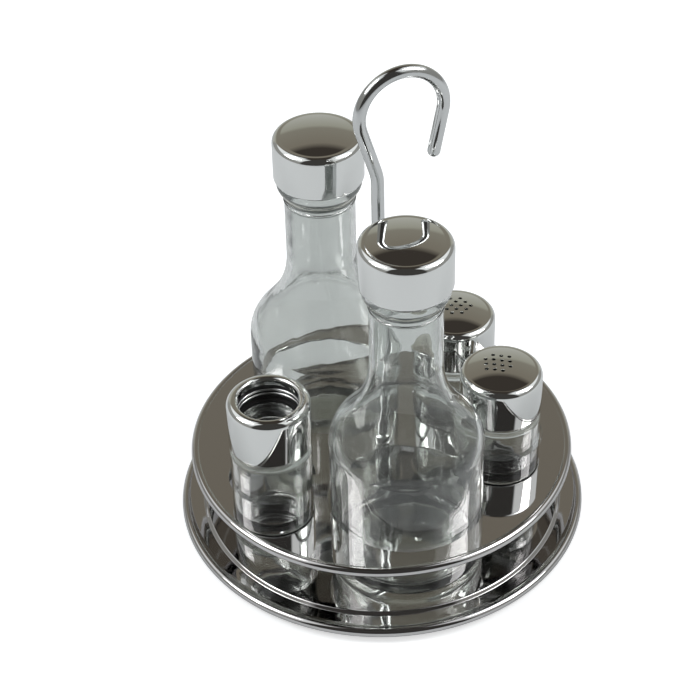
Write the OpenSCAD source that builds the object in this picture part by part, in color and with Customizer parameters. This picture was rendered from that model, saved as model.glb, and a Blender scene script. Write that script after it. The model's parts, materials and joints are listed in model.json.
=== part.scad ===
// Cruet set: a two-tier steel rack with a hook handle, two screw-capped bottles,
// two perforated shakers and one open toothpick jar.
// Origin: centre of the base pad's underside. +Z is up. The front is -Y.

/* [Rack] */
// Outer radius of the lower tray, over its rolled bead
tray_r = 80.3; // [80:0.1:84]
// Height of the tray's mirror floor above the table
floor_z = 7; // [6.8:0.1:7.4]
// Radius at which the step round the tray's raised floor meets its brim
floor_r = 71.6; // [71:0.1:72.4]
// Outer radius of the upper plate, over its rolled bead
plate_r = 75; // [74:0.1:78]
// Height of the upper plate's top face above the table
plate_z = 32.3; // [30:0.1:36]
// Thickness of the steel sheet
sheet_t = 0.7; // [0.5:0.05:0.9]
// Radius of the rolled bead round both sheets
bead_r = 1.9; // [1.6:0.1:2.2]
// Outer radius of the dark pad under the tray
pad_r = 77.3; // [76.6:0.1:77.5]

/* [Hook handle] */
// Radius of the handle's round rod
rod_r = 2.4; // [2:0.1:2.5]
// Radius of the hook's loop, at the rod's centre line
loop_r = 16.3; // [14:0.1:18]
// Distance of the loop's centre from the rack's axis
loop_x = 9.6; // [8:0.1:11]
// Height of the loop's centre above the table
loop_z = 182.4; // [176:0.1:190]
// Lean of the rod below the loop, from vertical
neck_lean = 16.3; // [12:0.1:20]
// Lean of the hook's open tail, from vertical
tail_lean = 11.4; // [6:0.1:16]
// Length of the hook's straight tail
tail_len = 17; // [12:0.5:20]
// Turn of the hook's plane about the rack's axis
hook_turn = 22; // [0:1:40]

/* [Bottles] */
// Radius of the bottle's body
bottle_r = 29.4; // [28:0.1:29.5]
// Height on the bottle at which its shoulder starts
shoulder_h = 54; // [52:0.5:56]
// Radius of the bottle's neck
neck_r = 13.6; // [13:0.1:14]
// Height of the bottle's mouth above its foot
bottle_h = 140.7; // [139.4:0.1:140.9]
// Radius of the bottle cap
bottle_cap_r = 17.3; // [17:0.1:18]
// Height of the bottle cap's straight side
bottle_cap_side = 16.3; // [16.1:0.1:18]
// Distance of the front bottle from the rack's axis
front_bottle_at = 35.2; // [35.2:0.1:37]
// Direction of the front bottle about the axis
front_bottle_dir = -75.3; // [-80:0.1:-70]
// Distance of the rear bottle from the rack's axis
rear_bottle_at = 39.9; // [38:0.1:40.5]
// Direction of the rear bottle about the axis
rear_bottle_dir = 122.6; // [118:0.1:127]

/* [Jars] */
// Outer radius of the small jars
jar_r = 15.8; // [15:0.1:16]
// Height of the small jars' mouths above their feet
jar_h = 53; // [52:0.1:53.2]
// Radius of the small jars' caps
jar_cap_r = 16.1; // [16:0.1:16.5]
// Height of a shaker cap's straight side
shaker_cap_side = 16.8; // [16.6:0.1:18]
// Height of a cap's domed top above its side
dome_h = 2.9; // [2.4:0.1:3.6]
// Radius of one sprinkle hole
sprinkle_r = 0.75; // [0.5:0.05:0.9]
// Distance between neighbouring sprinkle holes
sprinkle_pitch = 3.1; // [2.8:0.1:3.5]
// Height of the open ring cap
ring_cap_h = 20.6; // [19:0.1:21]
// Radius of the ring cap's opening
ring_open_r = 11.6; // [11:0.1:12]
// Distance of the right shaker from the rack's axis
right_jar_at = 46.9; // [46.5:0.1:48]
// Direction of the right shaker about the axis
right_jar_dir = 1.5; // [0:0.1:3]
// Distance of the rear shaker from the rack's axis
rear_jar_at = 48.5; // [47:0.1:49]
// Direction of the rear shaker about the axis
rear_jar_dir = 50.4; // [49:0.1:52]
// Distance of the toothpick jar from the rack's axis
pick_jar_at = 47.3; // [46:0.1:49]
// Direction of the toothpick jar about the axis
pick_jar_dir = 205.3; // [202:0.1:208]

/* [Hidden] */
$fn = 96;

// Clearances between pieces
hole_gap = 1.0;      // rack hole to bottle or jar
fit_gap = 0.05;      // rod in its bores
turn_gap = 0.35;     // between pieces that turn or lift past each other

// Rack
tube_r = 3.7;        // spacer between tray and plate
collar_r = 4.0;      // round nut above the plate
collar_h = 5;
washer_r = 6.5;
washer_t = 0.8;
nut_af = 8;          // across the flats
nut_h = 3;
rod_end = 0.7;       // rod below its lower nut
rod_bore = rod_r + fit_gap;
edge_r = 0.8;        // rounding at the top of the tray's step
step_a = 25;         // fall of the step, in degrees
bead_z = 4.2;        // centre of the tray's bead
bead_proud = 0.3;    // each bead stands above its sheet's face
plate_bead_z = plate_z + bead_proud - bead_r;
brim_z = bead_z + bead_r - bead_proud;
brim_under = brim_z - sheet_t;
pad_t = 1.6;         // pad's web
pad_rim = 3.2;       // width of the pad's rim, which carries the brim
pad_edge_t = 2;      // pad's outer edge, under the bead
pad_rim_r = pad_r - 4;
tray_under = floor_z - sheet_t;
plate_under = plate_z - sheet_t;
rod_foot = tray_under - washer_t - nut_h - rod_end;
elbow_r = 20;        // bend between the upright rod and its leaning part
weld = 0.03;         // each bend's ends are joined by a ball this much over the rod's radius

// Bottle
wall = 2.4;          // glass wall
base_t = 4;          // glass foot
push_up = 2.2;       // hollow under the foot
foot_round = 3;
shoulder_r = 15;     // convex part of the shoulder
shoulder_a = 38;     // its sweep in degrees
throat_r = 38;       // concave part of the shoulder
neck_bore = 10.6;
bore_rise = 42;      // from the shoulder's start to the top of the throat inside
ring_r = 16.4;       // collar under the cap
ring_h = 3.6;
ring_fade = 5.6;     // height over which the collar narrows to the neck
cap_z = 128.8;       // cap's lower edge above the foot
thread_r = 0.8;      // height of the plain rings that stand for the thread
thread_pitch = 3;
thread_t = 1;        // thickness of a ring
thread_in = 0.2;     // its depth into the neck
thread_z = 4;        // lowest ring above the cap's lower edge

// Pourer in a bottle's mouth
plug_h = 8;
plug_wall = 1.4;
plug_roof = 1.4;
pour_r = 2.2;
flange_t = 0.8;
flange_in = 0.6;     // flange inside the mouth's edge

// Cap shell and its threaded insert
shell_t = 0.6;
sprinkle_shift = [-1.2, 2.4];  // middle of the holes
insert_gap = 0.05;
insert_lift = 0.6;   // insert's lower edge above its cap's
seal_t = 1.2;
seal_in = 0.2;       // seal inside the mouth's edge
crown_r = 2.8;       // rounding between a cap's side and its dome
crown_drop = crown_r / 2;     // its centre below the top of the side
crown_rise = 0.45 * crown_r;  // height of the dome that it takes up

// Jars
jar_wall = 2.4;
jar_base_t = 4;
jar_neck_r = 13.0;
jar_bore = 10.4;
gasket_in = 0.4;     // gasket's bore wider than the jar's
lip_in = 0.8;        // insert's lip wider than the jar's bore
jar_thread_bore = jar_neck_r + thread_r + turn_gap - thread_in;
jar_foot_r = 2.2;    // rounding of the foot
jar_inner_r = 2;     // rounding inside the foot and shoulder
shaker_cap_z = 39.8; // cap's lower edge above the jar's foot
pick_cap_z = 43.7;
shaker_roof = shaker_cap_z + shaker_cap_side - crown_drop;
ring_lip_r = 3;      // rounding of the ring cap's upper edge
ring_in_r = 1.4;     // rounding at its opening
ring_fall = 3;       // depth of its opening's wall
ring_lip_t = 1.6;    // thickness of its top

// Points of an arc about (x, y), from angle a to angle b
function arc(x, y, r, a, b, steps = 10) =
    [for (i = [0:steps]) let (t = a + (b - a) * i / steps) [x + r * cos(t), y + r * sin(t)]];

// Places of the five vessels on the rack
function polar(r, a) = [r * cos(a), r * sin(a), floor_z];
front_bottle_pos = polar(front_bottle_at, front_bottle_dir);
rear_bottle_pos = polar(rear_bottle_at, rear_bottle_dir);
right_jar_pos = polar(right_jar_at, right_jar_dir);
rear_jar_pos = polar(rear_jar_at, rear_jar_dir);
pick_jar_pos = polar(pick_jar_at, pick_jar_dir);

// ---- Rack ----

// Lathe section of the tray: raised floor, low step, flat brim and rolled bead
module tray_section() {
    // the step's straight part runs down from the end of its rounding to the brim
    drop = floor_z - brim_z - edge_r * (1 - cos(step_a));
    ex = floor_r - drop / tan(step_a) - edge_r * sin(step_a);
    // the step's underside is a sheet's thickness behind its face
    under = sheet_t * tan(step_a / 2);
    // angles on the bead at which the brim's upper and lower faces meet it
    meet_top = 180 - asin((brim_z - bead_z) / bead_r);
    meet_under = 180 - asin((brim_under - bead_z) / bead_r);
    polygon(concat(
        [[0, tray_under], [0, floor_z]],
        arc(ex, floor_z - edge_r, edge_r, 90, 90 - step_a, 6),
        [[floor_r, brim_z]],
        arc(tray_r - bead_r, bead_z, bead_r, meet_top, meet_under - 360, 28),
        [[floor_r - under, brim_under]],
        [[floor_r - under - (tray_under - brim_under) / tan(step_a), tray_under]]));
}

module lower_tray() {
    color("silver") difference() {
        rotate_extrude() tray_section();
        cylinder(h = 3 * floor_z, r = rod_bore, center = true);
    }
}

module base_pad() {
    color([0.12, 0.12, 0.13]) difference() {
        union() {
            cylinder(h = pad_edge_t, r = pad_r);
            cylinder(h = brim_under, r = pad_rim_r);
        }
        translate([0, 0, pad_t]) cylinder(h = brim_under, r = pad_rim_r - pad_rim);
    }
}

module vessel_holes(h) {
    for (p = [front_bottle_pos, rear_bottle_pos])
        translate([p[0], p[1], 0]) cylinder(h = h, r = bottle_r + hole_gap);
    for (p = [right_jar_pos, rear_jar_pos, pick_jar_pos])
        translate([p[0], p[1], 0]) cylinder(h = h, r = jar_r + hole_gap);
}

module upper_plate() {
    color("silver") difference() {
        union() {
            translate([0, 0, plate_under]) cylinder(h = sheet_t, r = plate_r - bead_r);
            rotate_extrude() translate([plate_r - bead_r, plate_bead_z]) circle(bead_r);
        }
        vessel_holes(2 * plate_z);
        cylinder(h = 2 * plate_z, r = rod_bore);
    }
}

// Arc of round rod in the XZ plane about the origin, from angle a through sweep s
module rod_arc(r, a, s) {
    rotate([90, 0, 0]) rotate([0, 0, a]) rotate_extrude(angle = s) translate([r, 0]) circle(rod_r);
}

module hook_handle() {
    // left end of the loop, where it runs into the leaning neck
    left_x = loop_x - loop_r * cos(neck_lean);
    left_z = loop_z - loop_r * sin(neck_lean);
    // the neck meets the upright rod on the axis, through the elbow
    elbow_t = elbow_r * tan(neck_lean / 2);
    neck_len = -left_x / sin(neck_lean) - elbow_t;
    elbow_z = left_z + left_x / tan(neck_lean) - elbow_t;
    // right end of the loop, where the tail starts
    right_x = loop_x + loop_r * cos(tail_lean);
    right_z = loop_z - loop_r * sin(tail_lean);
    elbow_top = [elbow_r * (cos(neck_lean) - 1), 0, elbow_z + elbow_r * sin(neck_lean)];
    color("silver") rotate([0, 0, hook_turn]) {
        translate([0, 0, rod_foot]) cylinder(h = elbow_z - rod_foot, r = rod_r);
        translate([-elbow_r, 0, elbow_z]) rod_arc(elbow_r, 0, neck_lean);
        translate([left_x, 0, left_z]) rotate([0, 180 - neck_lean, 0]) cylinder(h = neck_len, r = rod_r);
        translate([loop_x, 0, loop_z]) rod_arc(loop_r, -tail_lean, 180 + tail_lean + neck_lean);
        translate([right_x, 0, right_z]) rotate([0, 180 + tail_lean, 0]) {
            cylinder(h = tail_len, r = rod_r);
            translate([0, 0, tail_len]) sphere(rod_r + weld);
        }
        for (p = [[0, 0, elbow_z], elbow_top, [left_x, 0, left_z], [right_x, 0, right_z]])
            translate(p) sphere(rod_r + weld);
    }
}

module spacer_tube() {
    color("silver") translate([0, 0, floor_z]) difference() {
        cylinder(h = plate_under - floor_z, r = tube_r);
        translate([0, 0, -1]) cylinder(h = plate_z, r = rod_bore);
    }
}

module round_nut() {
    color("silver") translate([0, 0, plate_z]) difference() {
        rotate_extrude() polygon([[0, 0], [collar_r, 0], [collar_r, collar_h - 1],
                                  [collar_r - 1, collar_h], [0, collar_h]]);
        translate([0, 0, -1]) cylinder(h = collar_h + 2, r = rod_bore);
    }
}

module lower_washer() {
    color("gray") translate([0, 0, tray_under - washer_t]) difference() {
        cylinder(h = washer_t, r = washer_r);
        translate([0, 0, -1]) cylinder(h = washer_t + 2, r = rod_bore);
    }
}

module lower_nut() {
    color("gray") translate([0, 0, tray_under - washer_t - nut_h]) difference() {
        cylinder(h = nut_h, r = nut_af / 2 / cos(30), $fn = 6);
        translate([0, 0, -1]) cylinder(h = nut_h + 2, r = rod_bore);
    }
}

// ---- Bottles ----

// Outline of a bottle: its shoulder and neck, pulled in by d
function shoulder_line(d) =
    let (r = bottle_r - d, n = neck_r - d,
         cr = shoulder_r - d, tr = throat_r + d,
         x1 = r - cr + cr * cos(shoulder_a), z1 = shoulder_h + cr * sin(shoulder_a),
         slope = (x1 - n - tr * (1 - cos(shoulder_a))) / sin(shoulder_a),
         x2 = x1 - slope * sin(shoulder_a), z2 = z1 + slope * cos(shoulder_a))
    concat(arc(r - cr, shoulder_h, cr, 0, shoulder_a, 10),
           arc(x2 + tr * cos(shoulder_a), z2 + tr * sin(shoulder_a), tr, 180 + shoulder_a, 180, 8));

module bottle_glass() {
    ring_z = cap_z - turn_gap;
    rotate_extrude() difference() {
        union() {
            polygon(concat(
                [[0, push_up], [bottle_r - foot_round - 2, 0.5], [bottle_r - foot_round, 0]],
                arc(bottle_r - foot_round, foot_round, foot_round, -90, 0, 6),
                shoulder_line(0),
                [[neck_r, bottle_h], [0, bottle_h]]));
            polygon([[neck_r - 1, ring_z], [ring_r, ring_z], [ring_r, ring_z - ring_h],
                     [neck_r + 0.4, ring_z - ring_h - ring_fade], [neck_r - 1, ring_z - ring_h - ring_fade]]);
            for (i = [0:2])
                translate([neck_r - thread_in, cap_z + thread_z + i * thread_pitch])
                    square([thread_r, thread_t]);
        }
        polygon(concat(
            [[0, base_t + push_up], [bottle_r - wall - foot_round, base_t]],
            arc(bottle_r - wall - foot_round, base_t + foot_round, foot_round, -90, 0, 6),
            shoulder_line(wall),
            [[neck_bore, shoulder_h + bore_rise], [neck_bore, bottle_h + 1], [0, bottle_h + 1]]));
    }
}

// Stepped plastic plug in the mouth, with a narrow pouring hole
module bottle_pourer() {
    rotate_extrude() difference() {
        union() {
            translate([0, bottle_h - plug_h]) square([neck_bore - insert_gap, plug_h]);
            translate([0, bottle_h]) square([neck_r - flange_in, flange_t]);
        }
        translate([0, bottle_h - plug_h - 1]) square([neck_bore - plug_wall, plug_h - plug_roof + 1]);
        square([pour_r, 2 * bottle_h]);
    }
}

// Height of the inside of a bottle cap's roof, above the foot
function bottle_roof() = cap_z + bottle_cap_side - crown_drop;

module bottle_seal() {
    translate([0, 0, bottle_h + flange_t]) cylinder(h = seal_t, r = neck_r - seal_in);
}

// Threaded insert: a cup that fills the cap above the neck
module cap_insert(r, low, seat, roof, bore) {
    difference() {
        translate([0, 0, low]) cylinder(h = roof - low, r = r);
        translate([0, 0, low - 1]) cylinder(h = seat - low + 1, r = bore);
    }
}

module bottle_insert() {
    cap_insert(bottle_cap_r - shell_t - insert_gap, cap_z + insert_lift, bottle_h + flange_t + seal_t,
               bottle_roof(), neck_r + thread_r + turn_gap - thread_in);
}

// Section of a cap shell: straight side, rounded crown and shallow dome
module dome_section(r, side, d) {
    top = (r - crown_r) * (r - crown_r);
    rise = dome_h - crown_rise;
    ball = (top + rise * rise) / (2 * rise);
    a = asin((r - crown_r) / ball);
    z = side + dome_h - d;
    polygon(concat(
        [[0, 0], [r - d, 0]],
        arc(r - crown_r, side - crown_drop, crown_r - d, 0, 90 - a, 5),
        arc(0, z - ball + d, ball - d, 90 - a, 90, 12)));
}

module domed_shell(r, side) {
    rotate_extrude() difference() {
        dome_section(r, side, 0);
        translate([0, -0.01]) dome_section(r, side, shell_t);
    }
}

// ---- Jars ----

module jar_glass(cap_z) {
    rotate_extrude() difference() {
        union() {
            polygon(concat(
                [[0, 1.2], [jar_r - jar_foot_r - 1, 0.3], [jar_r - jar_foot_r, 0]],
                arc(jar_r - jar_foot_r, jar_foot_r, jar_foot_r, -90, 0, 5),
                arc(jar_r - 1, cap_z - turn_gap - 1, 1, 0, 90, 4),
                [[jar_neck_r, cap_z - turn_gap], [jar_neck_r, jar_h], [0, jar_h]]));
            for (i = [0:1])
                translate([jar_neck_r - thread_in, cap_z + thread_z + i * thread_pitch])
                    square([thread_r, thread_t]);
        }
        polygon(concat(
            [[0, jar_base_t + 1], [jar_r - jar_wall - jar_inner_r, jar_base_t]],
            arc(jar_r - jar_wall - jar_inner_r, jar_base_t + jar_inner_r, jar_inner_r, -90, 0, 5),
            arc(jar_r - jar_wall - jar_inner_r, cap_z - 6, jar_inner_r, 0, 60, 4),
            [[jar_bore, cap_z - 1], [jar_bore, jar_h + 1], [0, jar_h + 1]]));
    }
}

// Flat ring that seals the jar's rim
module jar_gasket() {
    translate([0, 0, jar_h]) difference() {
        cylinder(h = seal_t, r = jar_neck_r - seal_in);
        translate([0, 0, -1]) cylinder(h = seal_t + 2, r = jar_bore + gasket_in);
    }
}

// Threaded sleeve inside a jar cap, with a lip that holds the gasket
module jar_insert(low, top) {
    seat = jar_h + seal_t;
    difference() {
        translate([0, 0, low]) cylinder(h = top - low, r = jar_cap_r - shell_t - insert_gap);
        translate([0, 0, low - 1]) cylinder(h = seat - low + 1, r = jar_thread_bore);
        cylinder(h = 2 * top, r = jar_bore + lip_in);
    }
}

// Sprinkle holes: columns of 3, 4, 4 and 3, off the cap's axis as on the real caps
module sprinkle_holes(turn) {
    columns = [3, 4, 4, 3];
    rotate([0, 0, turn])
        for (c = [0:3], i = [0:columns[c] - 1])
            translate([(c - 1.5) * sprinkle_pitch + sprinkle_shift[0],
                       (i - (columns[c] - 1) / 2 + ((c % 2) - 0.5) * 0.3) * sprinkle_pitch + sprinkle_shift[1], 0])
                cylinder(h = 100, r = sprinkle_r, $fn = 24);
}

module shaker_cap(turn) {
    translate([0, 0, shaker_cap_z]) difference() {
        domed_shell(jar_cap_r, shaker_cap_side);
        translate([0, 0, 2]) sprinkle_holes(turn);
    }
}

// Open ring cap: a sleeve whose upper edge rolls over into the opening
module ring_cap() {
    r = jar_cap_r;
    lip_x = r - ring_lip_r;
    lip_z = ring_cap_h - ring_lip_r;
    inner = ring_open_r + ring_in_r;
    translate([0, 0, pick_cap_z]) rotate_extrude() polygon(concat(
        [[r - shell_t, 0], [r, 0]],
        arc(lip_x, lip_z, ring_lip_r, 0, 90, 8),
        arc(inner, ring_cap_h - ring_in_r, ring_in_r, 90, 180, 6),
        [[ring_open_r, ring_cap_h - ring_fall], [ring_open_r + shell_t, ring_cap_h - ring_fall]],
        [[ring_open_r + shell_t, ring_cap_h - ring_lip_t]],
        arc(lip_x, lip_z, ring_lip_r - shell_t, 75, 0, 6)));
}

module pick_insert() {
    top = pick_cap_z + ring_cap_h - ring_fall - 2 * insert_gap;
    seat = jar_h + seal_t;
    difference() {
        translate([0, 0, pick_cap_z + insert_lift])
            cylinder(h = top - pick_cap_z - insert_lift, r = jar_cap_r - shell_t - insert_gap);
        translate([0, 0, pick_cap_z - 1])
            cylinder(h = seat - pick_cap_z + 1, r = jar_thread_bore);
        cylinder(h = 2 * top, r = ring_open_r + shell_t);
    }
}

// ---- Placed pieces ----

module front_bottle_glass() { color([0.75, 0.85, 0.82, 0.5]) translate(front_bottle_pos) bottle_glass(); }
module front_bottle_pourer() { color("white") translate(front_bottle_pos) bottle_pourer(); }
module front_bottle_seal() { color("ivory") translate(front_bottle_pos) bottle_seal(); }
module front_bottle_insert() { color("gray") translate(front_bottle_pos) bottle_insert(); }
module front_bottle_cap() {
    color("silver") translate(front_bottle_pos)
        translate([0, 0, cap_z]) domed_shell(bottle_cap_r, bottle_cap_side);
}

module rear_bottle_glass() { color([0.75, 0.85, 0.82, 0.5]) translate(rear_bottle_pos) bottle_glass(); }
module rear_bottle_pourer() { color("white") translate(rear_bottle_pos) bottle_pourer(); }
module rear_bottle_seal() { color("ivory") translate(rear_bottle_pos) bottle_seal(); }
module rear_bottle_insert() { color("gray") translate(rear_bottle_pos) bottle_insert(); }
module rear_bottle_cap() {
    color("silver") translate(rear_bottle_pos)
        translate([0, 0, cap_z]) domed_shell(bottle_cap_r, bottle_cap_side);
}

module right_shaker_glass() {
    color([0.75, 0.85, 0.82, 0.5]) translate(right_jar_pos) jar_glass(shaker_cap_z);
}
module right_shaker_gasket() { color("ivory") translate(right_jar_pos) jar_gasket(); }
module right_shaker_insert() {
    color("gray") translate(right_jar_pos) jar_insert(shaker_cap_z + insert_lift, shaker_roof);
}
module right_shaker_cap() { color("silver") translate(right_jar_pos) shaker_cap(0); }

module rear_shaker_glass() {
    color([0.75, 0.85, 0.82, 0.5]) translate(rear_jar_pos) jar_glass(shaker_cap_z);
}
module rear_shaker_gasket() { color("ivory") translate(rear_jar_pos) jar_gasket(); }
module rear_shaker_insert() {
    color("gray") translate(rear_jar_pos) jar_insert(shaker_cap_z + insert_lift, shaker_roof);
}
module rear_shaker_cap() { color("silver") translate(rear_jar_pos) shaker_cap(-38); }

module toothpick_glass() {
    color([0.75, 0.85, 0.82, 0.5]) translate(pick_jar_pos) jar_glass(pick_cap_z);
}
module toothpick_gasket() { color("ivory") translate(pick_jar_pos) jar_gasket(); }
module toothpick_insert() { color("gray") translate(pick_jar_pos) pick_insert(); }
module toothpick_cap() { color("silver") translate(pick_jar_pos) ring_cap(); }

base_pad();
lower_tray();
upper_plate();
hook_handle();
spacer_tube();
round_nut();
lower_washer();
lower_nut();
front_bottle_glass();
front_bottle_pourer();
front_bottle_seal();
front_bottle_insert();
front_bottle_cap();
rear_bottle_glass();
rear_bottle_pourer();
rear_bottle_seal();
rear_bottle_insert();
rear_bottle_cap();
right_shaker_glass();
right_shaker_gasket();
right_shaker_insert();
right_shaker_cap();
rear_shaker_glass();
rear_shaker_gasket();
rear_shaker_insert();
rear_shaker_cap();
toothpick_glass();
toothpick_gasket();
toothpick_insert();
toothpick_cap();
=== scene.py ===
"""Cruet set in a two-tier polished steel rack: the looks, built round the packed CAD frame.

Sizes are in metres. Places come from the frame's own nodes, and what the frame can't give is in
the settings below, one group for each kind of piece.
"""

import json
import math

import bmesh
import bpy
from bpy.props import FloatProperty, FloatVectorProperty, PointerProperty
from mathutils import Matrix, Vector

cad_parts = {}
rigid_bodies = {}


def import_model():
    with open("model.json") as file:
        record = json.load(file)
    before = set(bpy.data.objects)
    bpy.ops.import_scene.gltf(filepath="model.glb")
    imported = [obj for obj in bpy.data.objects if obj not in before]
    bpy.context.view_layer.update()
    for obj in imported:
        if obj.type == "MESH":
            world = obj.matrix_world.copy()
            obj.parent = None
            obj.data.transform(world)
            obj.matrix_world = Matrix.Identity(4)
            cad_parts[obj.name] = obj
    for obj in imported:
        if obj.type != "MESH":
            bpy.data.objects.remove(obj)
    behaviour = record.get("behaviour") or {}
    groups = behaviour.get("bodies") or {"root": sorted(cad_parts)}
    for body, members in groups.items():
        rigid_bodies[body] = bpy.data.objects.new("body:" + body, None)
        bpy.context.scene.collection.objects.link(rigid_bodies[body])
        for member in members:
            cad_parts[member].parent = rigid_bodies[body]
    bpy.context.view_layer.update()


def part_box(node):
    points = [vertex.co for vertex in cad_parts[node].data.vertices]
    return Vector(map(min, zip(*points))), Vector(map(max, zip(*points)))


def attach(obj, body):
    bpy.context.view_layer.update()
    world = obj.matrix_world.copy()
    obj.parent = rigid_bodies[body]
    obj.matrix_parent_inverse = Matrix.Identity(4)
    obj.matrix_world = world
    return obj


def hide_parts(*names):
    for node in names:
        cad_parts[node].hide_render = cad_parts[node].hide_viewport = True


bl_info = {
    "name": "Cruet Set",
    "version": (1, 0, 0),
    "blender": (4, 5, 0),
    "location": "View3D > Sidebar > Cruet Set",
    "description": "Cruet rack with two bottles, two shakers and a toothpick jar",
    "category": "Add Mesh",
}

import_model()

MM = 0.001
SPIN_STEPS = 192          # facets round a large turned piece
SMALL_STEPS = 128         # facets round a cap, a jar or a bottle
HOLE_STEPS = 96           # facets round a narrow hole or a fitting on the rod
POLE = 1e-7               # a radius below this is a point on the axis
BOTTLES = ("front_bottle", "rear_bottle")
SHAKERS = ("right_shaker", "rear_shaker")
SPRINKLE_COLUMNS = (3, 4, 4, 3)
REAR_HOLES_TURN = math.radians(-38)
THREAD_PITCH = 3.0 * MM
THREAD_RIDGE = 0.7 * MM   # radius of the thread's round section
THREAD_INSET = 0.15 * MM  # how far the middle of that section lies inside the neck
CROWN_RISE = 0.45         # share of a crown's radius that stands above the cap's side
CROWN_DROP = 0.5          # share of it by which its centre lies below the side's end


# ---- Places taken from the frame ----

def middle(node):
    """Axis of a round CAD node: the centre of its box, and the height of its underside."""
    low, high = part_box(node)
    return Vector(((low.x + high.x) / 2, (low.y + high.y) / 2, low.z))


def half_width(node):
    low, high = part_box(node)
    return (high.x - low.x) / 2


def height(node):
    low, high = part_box(node)
    return high.z - low.z


FLOOR_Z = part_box("lower_tray")[1].z
PLATE_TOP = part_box("round_nut")[0].z
PLATE_RIM_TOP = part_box("upper_plate")[1].z


# ---- Settings ----

def length(name, default, description):
    return FloatProperty(name=name, default=default, description=description, unit="LENGTH", precision=5)


def angle(name, default, description):
    return FloatProperty(name=name, default=default, description=description, subtype="ANGLE",
                         unit="ROTATION")


def colour(name, default, description):
    return FloatVectorProperty(name=name, default=default, description=description, subtype="COLOR",
                               size=4, min=0, max=1)


class RackSizes(bpy.types.PropertyGroup):
    """Sheet metal of the tray and the plate"""
    sheet: length("Sheet", 0.7 * MM, "Thickness of the steel sheet")
    bead: length("Bead", 1.9 * MM, "Radius of the rolled bead round both sheets")
    bead_height: length("Bead height", 4.2 * MM, "Height of the middle of the tray's bead")
    bead_proud: length("Bead above sheet", 0.3 * MM, "Height of each bead above its sheet's face")
    edge_radius: length("Edge radius", 0.8 * MM, "Rounding at the top of the tray's step")
    foot_radius: length("Foot radius", 0.35 * MM, "Rounding where the step runs into the brim")
    floor_radius: length("Floor radius", 71.6 * MM, "Radius at which the step meets the brim")
    step_fall: angle("Step fall", math.radians(50), "Slope of the step round the tray's floor")
    pad_edge: length("Pad edge", 2 * MM, "Thickness of the pad's outer edge")
    pad_inset: length("Pad rim inset", 4 * MM, "Distance of the pad's rim from its outer edge")
    hole_gap: length("Hole gap", 1.0 * MM, "Gap between a vessel and its hole in the plate")
    hole_edge: length("Hole edge", 0.15 * MM, "Rounding of the holes' edges")


class HookSizes(bpy.types.PropertyGroup):
    """Bent rod of the hook handle"""
    rod: length("Rod", 2.4 * MM, "Radius of the rod")
    elbow: length("Elbow", 20 * MM, "Bend radius between the upright rod and its leaning part")
    lean: angle("Lean", math.radians(16.3), "Lean of the rod below the loop, from vertical")
    loop: length("Loop", 16.3 * MM, "Radius of the loop at the rod's centre line")
    loop_offset: length("Loop offset", 9.6 * MM, "Distance of the loop's centre from the axis")
    loop_height: length("Loop height", 182.4 * MM, "Height of the loop's centre")
    tail_lean: angle("Tail lean", math.radians(11.4), "Lean of the hook's open tail")
    tail: length("Tail", 17 * MM, "Length of the straight tail")
    turn: angle("Turn", math.radians(22), "Turn of the hook's plane about the axis")


class BottleSizes(bpy.types.PropertyGroup):
    """Glass of the two bottles"""
    wall: length("Wall", 2.4 * MM, "Thickness of the glass wall")
    base: length("Base", 4 * MM, "Thickness of the glass foot")
    push_up: length("Push-up", 2.2 * MM, "Depth of the hollow under the foot")
    foot_round: length("Foot rounding", 3 * MM, "Rounding of the foot's edge")
    shoulder_start: length("Shoulder start", 54 * MM, "Height at which the shoulder starts")
    shoulder: length("Shoulder", 15 * MM, "Radius of the shoulder's convex part")
    shoulder_sweep: angle("Shoulder sweep", math.radians(38), "Angle that the convex part turns through")
    throat: length("Throat", 38 * MM, "Radius of the shoulder's hollow part")
    neck: length("Neck", 13.6 * MM, "Radius of the neck")
    bore: length("Bore", 10.6 * MM, "Radius of the mouth's bore")
    bore_rise: length("Bore rise", 42 * MM, "Height of the mouth's bore above the shoulder's start")
    ring: length("Collar", 16.4 * MM, "Radius of the collar under the cap")
    ring_height: length("Collar height", 3.6 * MM, "Height of the collar's straight part")
    ring_fade: length("Collar fade", 5.6 * MM, "Height over which the collar narrows to the neck")
    neck_ring: length("Neck ring", 0.35 * MM, "Height of the low ring under the collar")
    cap_edge: length("Cap edge", 128.8 * MM, "Height of the cap's lower edge above the foot")


class JarSizes(bpy.types.PropertyGroup):
    """Glass of the three small jars"""
    wall: length("Wall", 2.4 * MM, "Thickness of the glass wall")
    base: length("Base", 4 * MM, "Thickness of the glass foot")
    neck: length("Neck", 13 * MM, "Radius of the neck")
    bore: length("Bore", 10.4 * MM, "Radius of the mouth's bore")


class CapSizes(bpy.types.PropertyGroup):
    """Chromed caps"""
    shell: length("Shell", 0.6 * MM, "Thickness of a cap's shell")
    crown: length("Crown", 2.8 * MM, "Rounding between a cap's side and its dome")
    dome: length("Dome", 2.9 * MM, "Height of the domed top above the side")
    hole: length("Hole", 0.75 * MM, "Radius of a sprinkle hole")
    pitch: length("Pitch", 3.1 * MM, "Distance between neighbouring sprinkle holes")
    opening: length("Opening", 11.6 * MM, "Radius of the ring cap's opening")
    lip: length("Lip", 3 * MM, "Rounding of the ring cap's upper edge")
    curl: length("Curl", 1.4 * MM, "Rounding of the ring cap's opening")
    holes_across: length("Holes across", -1.2 * MM, "Offset of the sprinkle holes along their rows")
    holes_back: length("Holes back", 2.4 * MM, "Offset of the sprinkle holes along their columns")
    turn_gap: length("Turning gap", 0.35 * MM, "Gap between glass and a cap that turns")


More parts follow.
